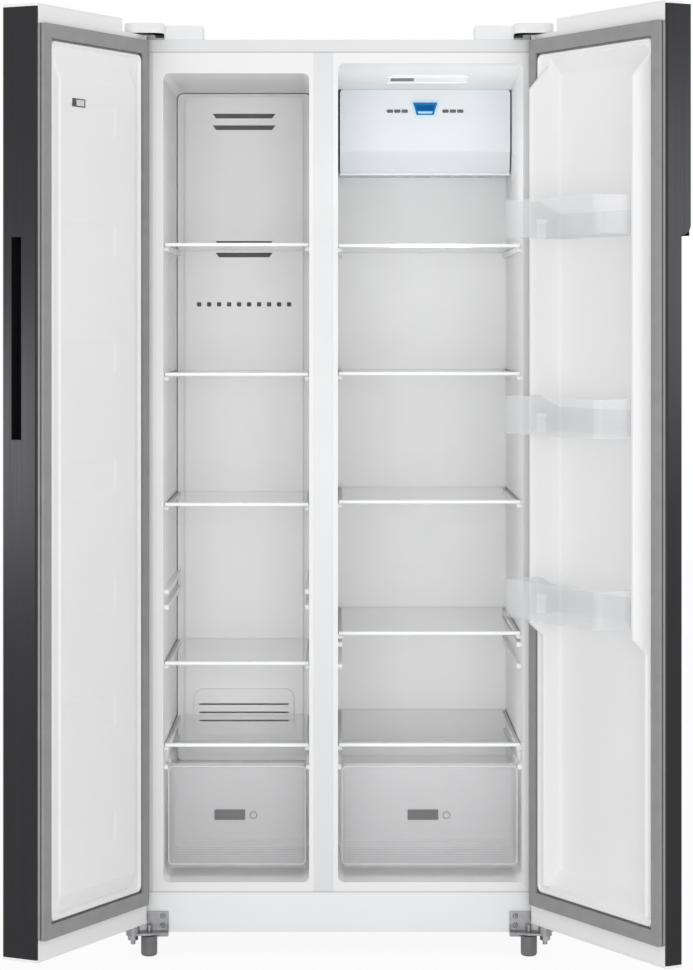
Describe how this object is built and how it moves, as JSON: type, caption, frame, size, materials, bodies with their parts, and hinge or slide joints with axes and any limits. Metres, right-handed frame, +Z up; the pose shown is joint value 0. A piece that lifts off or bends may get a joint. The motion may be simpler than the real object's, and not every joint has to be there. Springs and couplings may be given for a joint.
{
  "type": "side by side refrigerator",
  "caption": "Tall two-door refrigerator with a freezer and a fridge side by side, both doors open on glass shelves, drawers and door bins.",
  "frame": {"origin": "on the floor, on the cabinet's centre plane from side to side, in the middle from front to back of the space that the refrigerator takes with both doors open", "axes": "+Z up, +X to the right of a person who faces the open refrigerator, +Y away from them to its back"},
  "size_m": [1.2291, 1.0157, 1.773],
  "materials": {
    "white_enamel": "satin",
    "dark_steel": "satin",
    "white_moulding": "satin",
    "white_trim": "gloss",
    "foam": "matte",
    "gasket_grey": "matte",
    "shelf_glass": "polished",
    "clear_plastic": "gloss",
    "zinc_steel": "satin",
    "black_plastic": "matte",
    "blue_plastic": "gloss",
    "grey_plastic": "matte",
    "coil_aluminium": "satin",
    "black_enamel": "satin",
    "black_rubber": "matte",
    "lamp_lens": "satin"
  },
  "bodies": {
    "cabinet": {"cabinet_shell": "white_enamel", "cabinet_back": "zinc_steel", "cabinet_base": "zinc_steel", "cabinet_insulation": "foam", "freezer_liner": "white_moulding", "fridge_liner": "white_moulding", "mullion_cover": "white_enamel", "header_panel": "white_enamel", "base_panel": "white_enamel", "freezer_duct_cover": "white_moulding", "evaporator": "coil_aluminium", "fan_motor": "black_plastic", "freezer_shelf_1": "shelf_glass", "freezer_shelf_2": "shelf_glass", "freezer_shelf_3": "shelf_glass", "freezer_shelf_4": "shelf_glass", "freezer_shelf_5": "shelf_glass", "fridge_shelf_1": "shelf_glass", "fridge_shelf_2": "shelf_glass", "fridge_shelf_3": "shelf_glass", "fridge_shelf_4": "shelf_glass", "fridge_shelf_5": "shelf_glass", "shelf_trims": "white_trim", "air_box": "white_moulding", "ceiling_lamp": "lamp_lens", "compressor": "black_enamel", "compressor_mounts": "black_rubber", "drip_tray": "grey_plastic", "machine_cover": "grey_plastic", "top_hinges": "zinc_steel", "hinge_covers": "white_trim", "bottom_hinges": "zinc_steel", "hinge_bolts": "zinc_steel", "hinge_screws": "zinc_steel", "roller_brackets": "zinc_steel"},
    "left_door": {"left_door_skin": "dark_steel", "left_door_insulation": "foam", "left_door_liner": "white_moulding", "left_door_gasket": "gasket_grey", "left_door_top_cap": "white_trim", "left_door_bottom_cap": "white_trim", "left_door_pocket": "black_plastic"},
    "right_door": {"right_door_skin": "dark_steel", "right_door_insulation": "foam", "right_door_liner": "white_moulding", "right_door_gasket": "gasket_grey", "right_door_top_cap": "white_trim", "right_door_bottom_cap": "white_trim", "right_door_grip": "dark_steel", "door_bin_1": "clear_plastic", "door_bin_2": "clear_plastic", "door_bin_3": "clear_plastic"},
    "freezer_drawer": {"freezer_drawer": "clear_plastic"},
    "fridge_drawer": {"fridge_drawer": "clear_plastic"},
    "air_slider": {"air_slider": "blue_plastic"},
    "fan": {"evaporator_fan": "grey_plastic"},
    "left_foot": {"left_foot": "grey_plastic"},
    "right_foot": {"right_foot": "grey_plastic"},
    "left_roller": {"left_roller": "black_plastic"},
    "right_roller": {"right_roller": "black_plastic"}
  },
  "joints": [
    {"name": "left_door_hinge", "type": "hinge", "parent": "cabinet", "child": "left_door", "pos_m": [-0.391, -0.125, 0.9], "axis": [0, 0, -1], "range_deg": [-117, 2]},
    {"name": "right_door_hinge", "type": "hinge", "parent": "cabinet", "child": "right_door", "pos_m": [0.391, -0.125, 0.9], "axis": [0, 0, 1], "range_deg": [-119, 0]},
    {"name": "freezer_drawer_slide", "type": "slide", "parent": "cabinet", "child": "freezer_drawer", "axis": [0, -1, 0], "range_m": [0, 0.28]},
    {"name": "fridge_drawer_slide", "type": "slide", "parent": "cabinet", "child": "fridge_drawer", "axis": [0, -1, 0], "range_m": [0, 0.28]},
    {"name": "air_slider_slide", "type": "slide", "parent": "cabinet", "child": "air_slider", "axis": [1, 0, 0], "range_m": [-0.009, 0.009]},
    {"name": "evaporator_fan_spin", "type": "hinge", "parent": "cabinet", "child": "fan", "pos_m": [-0.1965, 0.406, 1.5], "axis": [0, 1, 0], "continuous": true},
    {"name": "left_foot_turn", "type": "hinge", "parent": "cabinet", "child": "left_foot", "pos_m": [-0.361, -0.114, 0.02], "axis": [0, 0, 1], "continuous": true},
    {"name": "right_foot_turn", "type": "hinge", "parent": "cabinet", "child": "right_foot", "pos_m": [0.361, -0.114, 0.02], "axis": [0, 0, 1], "continuous": true},
    {"name": "left_roller_roll", "type": "hinge", "parent": "cabinet", "child": "left_roller", "pos_m": [-0.33, 0.446, 0.018], "axis": [1, 0, 0], "continuous": true},
    {"name": "right_roller_roll", "type": "hinge", "parent": "cabinet", "child": "right_roller", "pos_m": [0.33, 0.446, 0.018], "axis": [1, 0, 0], "continuous": true}
  ]
}
